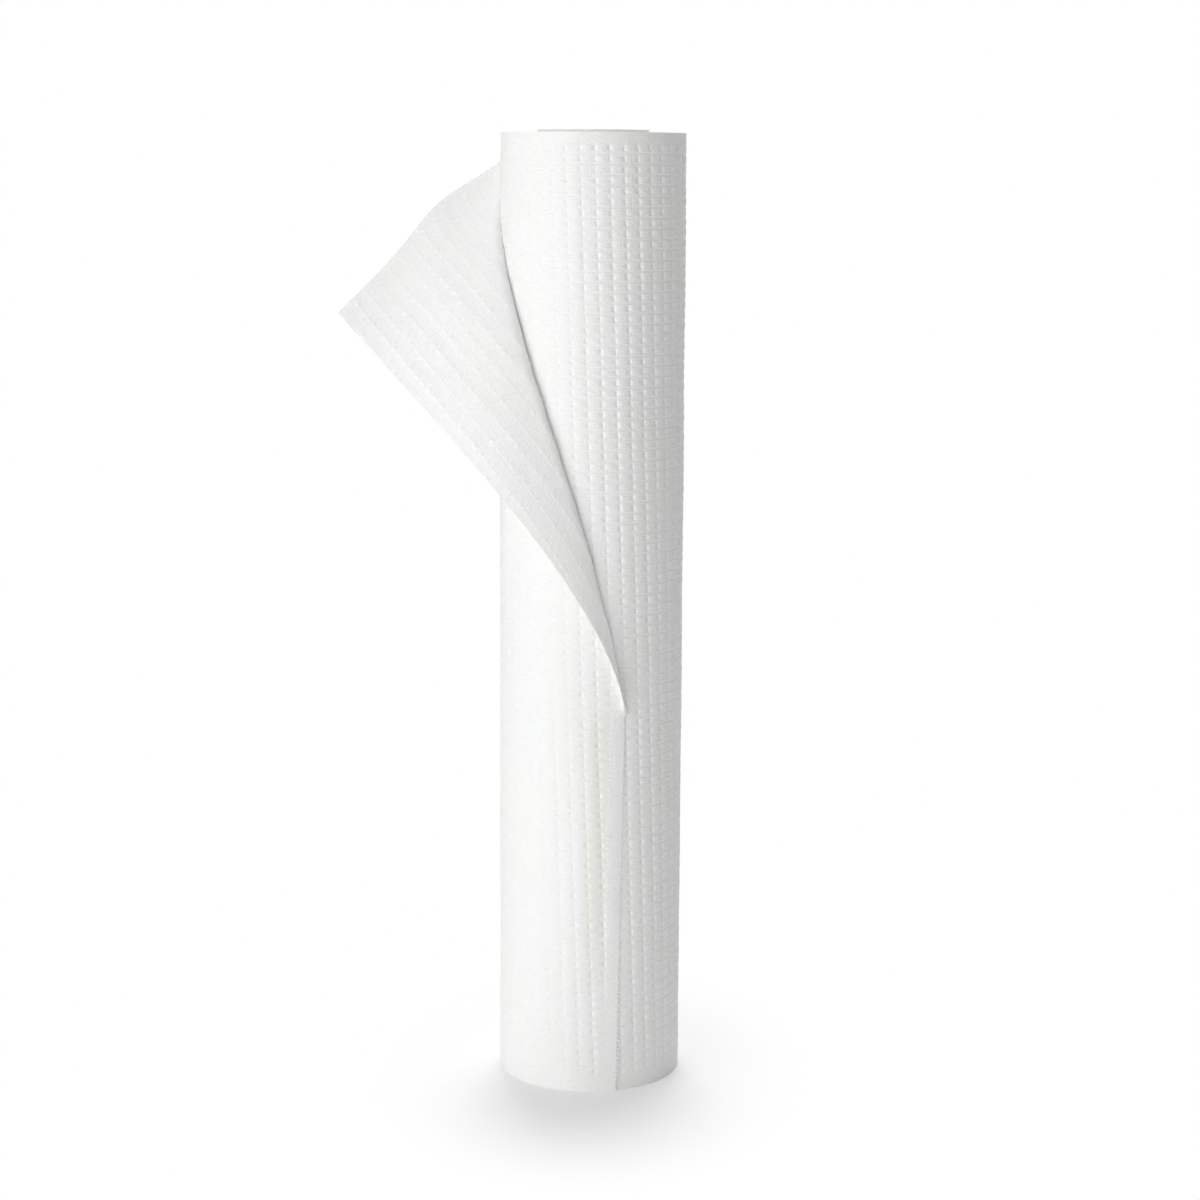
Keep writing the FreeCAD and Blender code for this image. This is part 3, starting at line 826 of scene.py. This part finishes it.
WHITE = (1.0, 1.0, 1.0, 1.0)
FLOOR_HALF_WIDTH = 6.0
FLOOR_COLOUR = "#E6E6E6"
FLOOR_GLOW = 0.17                       # how much light the floor itself adds to its shadow
FLOOR_FADE = (0.045, 0.16)              # distances from the roll between which it turns plain white
FLOOR_OVAL = (1.3, 0.85, 1.0)           # shorter distances to the sides, longer ones to the front
SURROUNDINGS = 0.42                     # the plain white light from all round
LAMPS = (                               # name, place, what it points at, width, height, watts
    ("key_left", (-1.05, -1.25, 0.3), (0.0, 0.0, 0.25), 1.9, 0.9, 19.5),
    ("high_back", (0.1, 0.75, 1.5), (0.0, 0.0, 0.25), 0.9, 0.7, 9.0),
    ("low_back", (0.0, 1.5, 1.0), (0.0, 0.0, 0.3), 0.9, 0.4, 9.5),
)
CAMERA_PLACE = (4.5 * MM, -1344.7 * MM, 481.4 * MM)
CAMERA_DIP = 0.14814                    # how far it looks down, in radians
CAMERA_ROLL = 0.00529                   # and how far it is turned about its own line of sight
LENS, SENSOR = 76.93, 36.0              # millimetres
LENS_RISE = -0.04                       # lifts the roll in the frame by as much as the framing needs


def pale_floor():
    """A matt white floor that fades to plain white away from the roll, and keeps its soft
    shadow."""
    material, tree = new_material("matt_white_studio_floor")
    place = add(tree, "ShaderNodeTexCoord")
    oval = add(tree, "ShaderNodeMapping", {"Vector": place.outputs["Object"]}, Scale=FLOOR_OVAL)
    away = add(tree, "ShaderNodeVectorMath", {0: oval.outputs[0]}, operation="LENGTH")
    fade = add(tree, "ShaderNodeMapRange", {"Value": away.outputs["Value"]}, From_Min=FLOOR_FADE[0],
               From_Max=FLOOR_FADE[1], interpolation_type="SMOOTHSTEP")
    path = add(tree, "ShaderNodeLightPath")
    diffuse = add(tree, "ShaderNodeBsdfDiffuse", Color=srgb(FLOOR_COLOUR))
    glow = add(tree, "ShaderNodeEmission", Color=WHITE, Strength=FLOOR_GLOW)
    near = add(tree, "ShaderNodeAddShader", {0: diffuse.outputs[0], 1: glow.outputs[0]})
    plain = add(tree, "ShaderNodeEmission", Color=WHITE, Strength=1.0)
    looked_at = add(tree, "ShaderNodeMixShader", {0: fade.outputs["Result"], 1: near.outputs[0],
                                                  2: plain.outputs[0]})
    seen = add(tree, "ShaderNodeMixShader", {0: path.outputs["Is Camera Ray"], 1: diffuse.outputs[0],
                                             2: looked_at.outputs[0]})
    add(tree, "ShaderNodeOutputMaterial", {"Surface": seen.outputs[0]})
    return material


def add_floor():
    """One square under the roll."""
    half = FLOOR_HALF_WIDTH
    points = np.array([[-half, -half, 0.0], [half, -half, 0.0], [half, half, 0.0], [-half, half, 0.0]])
    floor = piece_from("studio_floor", points, [np.array([[0, 1, 2, 3]])], pale_floor())


def add_area_light(name, place, target, width, height, watts):
    """A rectangular lamp that points from its place to its target."""
    light = bpy.data.lights.new(name, "AREA")
    light.shape = "RECTANGLE"
    light.size = width
    light.size_y = height
    light.energy = watts
    lamp = bpy.data.objects.new(name, light)
    bpy.context.scene.collection.objects.link(lamp)
    aim = Vector(target) - Vector(place)
    lamp.matrix_world = Matrix.Translation(place) @ aim.to_track_quat("-Z", "Y").to_matrix().to_4x4()


def add_world():
    """Surroundings that light the roll softly and are plain white wherever they are seen."""
    world = bpy.data.worlds.new("plain_white_surroundings")
    bpy.context.scene.world = world
    world.use_nodes = True
    tree = world.node_tree
    tree.nodes.clear()
    path = add(tree, "ShaderNodeLightPath").outputs
    seen = path["Is Camera Ray"]
    for ray in ("Is Glossy Ray", "Is Transmission Ray"):
        seen = add(tree, "ShaderNodeMath", {0: seen, 1: path[ray]}, operation="MAXIMUM").outputs[0]
    soft = add(tree, "ShaderNodeBackground", Color=WHITE, Strength=SURROUNDINGS)
    white = add(tree, "ShaderNodeBackground", Color=WHITE, Strength=1.0)
    mix = add(tree, "ShaderNodeMixShader", {0: seen, 1: soft.outputs[0], 2: white.outputs[0]})
    add(tree, "ShaderNodeOutputWorld", {"Surface": mix.outputs[0]})


def add_camera():
    """The camera stands in front of the roll, level with its top, and looks slightly down."""
    data = bpy.data.cameras.new("camera")
    data.lens = LENS
    data.sensor_width = SENSOR
    data.shift_y = LENS_RISE
    data.clip_end = 50.0
    camera = bpy.data.objects.new("camera", data)
    bpy.context.scene.collection.objects.link(camera)
    camera.matrix_world = (Matrix.Translation(CAMERA_PLACE)
                           @ Matrix.Rotation(math.pi / 2.0 - CAMERA_DIP, 4, "X")
                           @ Matrix.Rotation(CAMERA_ROLL, 4, "Z"))
    bpy.context.scene.camera = camera


add_floor()
add_world()
for lamp in LAMPS:
    add_area_light(*lamp)
add_camera()
bpy.context.scene.view_settings.view_transform = "Standard"
